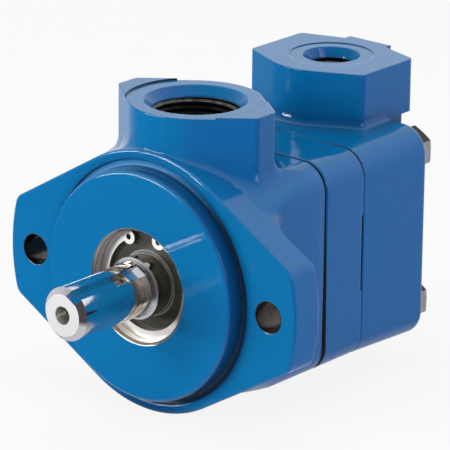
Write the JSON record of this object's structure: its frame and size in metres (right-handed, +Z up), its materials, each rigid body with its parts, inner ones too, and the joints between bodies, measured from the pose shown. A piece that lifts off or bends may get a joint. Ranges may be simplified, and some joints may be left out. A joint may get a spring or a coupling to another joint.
{
  "type": "hydraulic vane pump",
  "caption": "Flange-mounted hydraulic vane pump with a straight keyed shaft, upright inlet and outlet ports and sliding vanes inside a cam ring.",
  "frame": {"origin": "on the shaft axis, in the face of the mounting flange", "axes": "+Z up towards the ports, -Y out along the drive shaft, +X to the right seen from the drive end"},
  "size_m": [0.1296, 0.1673, 0.1084],
  "materials": {
    "blue_paint": "glossy blue enamel over cast iron",
    "zinc_steel": "zinc-plated steel",
    "ground_steel": "ground bright steel",
    "bearing_steel": "polished bearing steel",
    "spring_steel": "phosphated spring steel",
    "nitrile": "moulded nitrile rubber",
    "sintered_iron": "machined iron",
    "bronze": "bearing bronze"
  },
  "bodies": {
    "housing": {"mounting_body": "blue_paint", "cam_ring": "blue_paint", "outlet_cover": "blue_paint", "cover_bolts": "zinc_steel", "locating_pins": "ground_steel", "body_face_seal": "nitrile", "cover_face_seal": "nitrile", "retaining_ring": "zinc_steel", "shaft_seal": "nitrile", "shaft_seal_case": "spring_steel", "shaft_seal_spring": "spring_steel", "bearing_outer_race": "bearing_steel", "rear_bushing": "bronze"},
    "shaft_set": {"drive_shaft": "ground_steel", "bearing_inner_race": "bearing_steel", "shaft_snap_ring": "spring_steel", "rotor": "ground_steel"},
    "bearing_cage_set": {"bearing_cage": "spring_steel", "bearing_balls": "bearing_steel"},
    "pressure_plate_set": {"pressure_plate": "sintered_iron", "pressure_plate_seal": "nitrile", "pressure_plate_spring": "spring_steel"},
    "vane_01_slider": {"vane_01": "ground_steel"},
    "vane_02_slider": {"vane_02": "ground_steel"},
    "vane_03_slider": {"vane_03": "ground_steel"},
    "vane_04_slider": {"vane_04": "ground_steel"},
    "vane_05_slider": {"vane_05": "ground_steel"},
    "vane_06_slider": {"vane_06": "ground_steel"},
    "vane_07_slider": {"vane_07": "ground_steel"},
    "vane_08_slider": {"vane_08": "ground_steel"},
    "vane_09_slider": {"vane_09": "ground_steel"},
    "vane_10_slider": {"vane_10": "ground_steel"},
    "vane_11_slider": {"vane_11": "ground_steel"},
    "vane_12_slider": {"vane_12": "ground_steel"}
  },
  "joints": [
    {"name": "shaft_spin", "type": "hinge", "parent": "housing", "child": "shaft_set", "pos_m": [0, 0, 0], "axis": [0, 1, 0], "continuous": true},
    {"name": "bearing_cage_spin", "type": "hinge", "parent": "housing", "child": "bearing_cage_set", "pos_m": [0, 0.01275, 0], "axis": [0, 1, 0], "continuous": true},
    {"name": "pressure_plate_float", "type": "slide", "parent": "housing", "child": "pressure_plate_set", "axis": [0, 1, 0], "range_m": [0, 0.00045], "stiffness_N_per_m": 10000, "springref_m": -0.004},
    {"name": "vane_01_slide", "type": "slide", "parent": "shaft_set", "child": "vane_01_slider", "axis": [0.9659, 0, 0.2588], "range_m": [0, 0.00274]},
    {"name": "vane_02_slide", "type": "slide", "parent": "shaft_set", "child": "vane_02_slider", "axis": [0.7071, 0, 0.7071], "range_m": [0, 0.00315]},
    {"name": "vane_03_slide", "type": "slide", "parent": "shaft_set", "child": "vane_03_slider", "axis": [0.2588, 0, 0.9659], "range_m": [0, 0.00285]},
    {"name": "vane_04_slide", "type": "slide", "parent": "shaft_set", "child": "vane_04_slider", "axis": [-0.2588, 0, 0.9659], "range_m": [0, 0.00059]},
    {"name": "vane_05_slide", "type": "slide", "parent": "shaft_set", "child": "vane_05_slider", "axis": [-0.7071, 0, 0.7071], "range_m": [0, 0.0003]},
    {"name": "vane_06_slide", "type": "slide", "parent": "shaft_set", "child": "vane_06_slider", "axis": [-0.9659, 0, 0.2588], "range_m": [0, 0.00049]},
    {"name": "vane_07_slide", "type": "slide", "parent": "shaft_set", "child": "vane_07_slider", "axis": [-0.9659, 0, -0.2588], "range_m": [0, 0.00274]},
    {"name": "vane_08_slide", "type": "slide", "parent": "shaft_set", "child": "vane_08_slider", "axis": [-0.7071, 0, -0.7071], "range_m": [0, 0.00315]},
    {"name": "vane_09_slide", "type": "slide", "parent": "shaft_set", "child": "vane_09_slider", "axis": [-0.2588, 0, -0.9659], "range_m": [0, 0.00285]},
    {"name": "vane_10_slide", "type": "slide", "parent": "shaft_set", "child": "vane_10_slider", "axis": [0.2588, 0, -0.9659], "range_m": [0, 0.00059]},
    {"name": "vane_11_slide", "type": "slide", "parent": "shaft_set", "child": "vane_11_slider", "axis": [0.7071, 0, -0.7071], "range_m": [0, 0.0003]},
    {"name": "vane_12_slide", "type": "slide", "parent": "shaft_set", "child": "vane_12_slider", "axis": [0.9659, 0, -0.2588], "range_m": [0, 0.00049]}
  ],
  "couplings": [
    {"joint": "bearing_cage_spin", "follows": "shaft_spin", "ratio": 0.38158}
  ]
}
